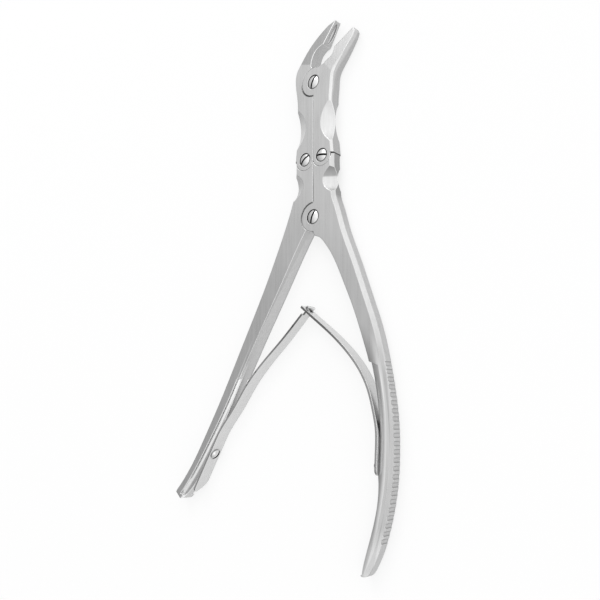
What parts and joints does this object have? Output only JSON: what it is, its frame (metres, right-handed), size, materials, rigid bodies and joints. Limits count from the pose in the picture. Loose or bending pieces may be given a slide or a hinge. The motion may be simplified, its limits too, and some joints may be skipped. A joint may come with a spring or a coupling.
{
  "type": "bone rongeur",
  "caption": "Double-action bone rongeur with curved cupped jaws, lapped pivots and hooked leaf springs between long grooved handles.",
  "frame": {"origin": "on the axis of the handle pivot, in the plane of the back faces that the instrument lies on", "axes": "+Y from the handle pivot to the jaw pivot, +Z out of the front faces with the screw heads, +X the side that the jaws curve to"},
  "size_m": [0.1291, 0.2421, 0.0076],
  "materials": {
    "forged_steel": "satin, brushed along the instrument",
    "screw_steel": "fine turned",
    "spring_steel": "fine brushed"
  },
  "bodies": {
    "left_handle": {"handle_left": "forged_steel", "handle_pivot_screw": "screw_steel", "left_link_screw": "screw_steel", "left_spring_leaf": "spring_steel", "left_spring_screw": "screw_steel"},
    "right_handle": {"handle_right": "forged_steel", "right_link_screw": "screw_steel", "right_spring_leaf": "spring_steel", "right_spring_screw": "screw_steel"},
    "left_jaw": {"jaw_left": "forged_steel", "jaw_pivot_screw": "screw_steel"},
    "right_jaw": {"jaw_right": "forged_steel"}
  },
  "joints": [
    {"name": "handle_pivot", "type": "hinge", "parent": "left_handle", "child": "right_handle", "pos_m": [0, 0, 0], "axis": [0, 0, -1], "range_deg": [0, 32], "stiffness_Nm_per_rad": 1, "springref_deg": -17.19, "deforming": ["left_spring_leaf", "right_spring_leaf"]},
    {"name": "left_link", "type": "hinge", "parent": "left_handle", "child": "left_jaw", "pos_m": [-0.0049, 0.028, 0], "axis": [0, 0, -1], "range_deg": [0, 28]},
    {"name": "right_link", "type": "hinge", "parent": "right_handle", "child": "right_jaw", "pos_m": [0.0049, 0.028, 0], "axis": [0, 0, 1], "range_deg": [0, 28]}
  ],
  "couplings": [
    {"joint": "left_link", "follows": "handle_pivot", "ratio": 0.872},
    {"joint": "right_link", "follows": "handle_pivot", "ratio": 0.872}
  ]
}
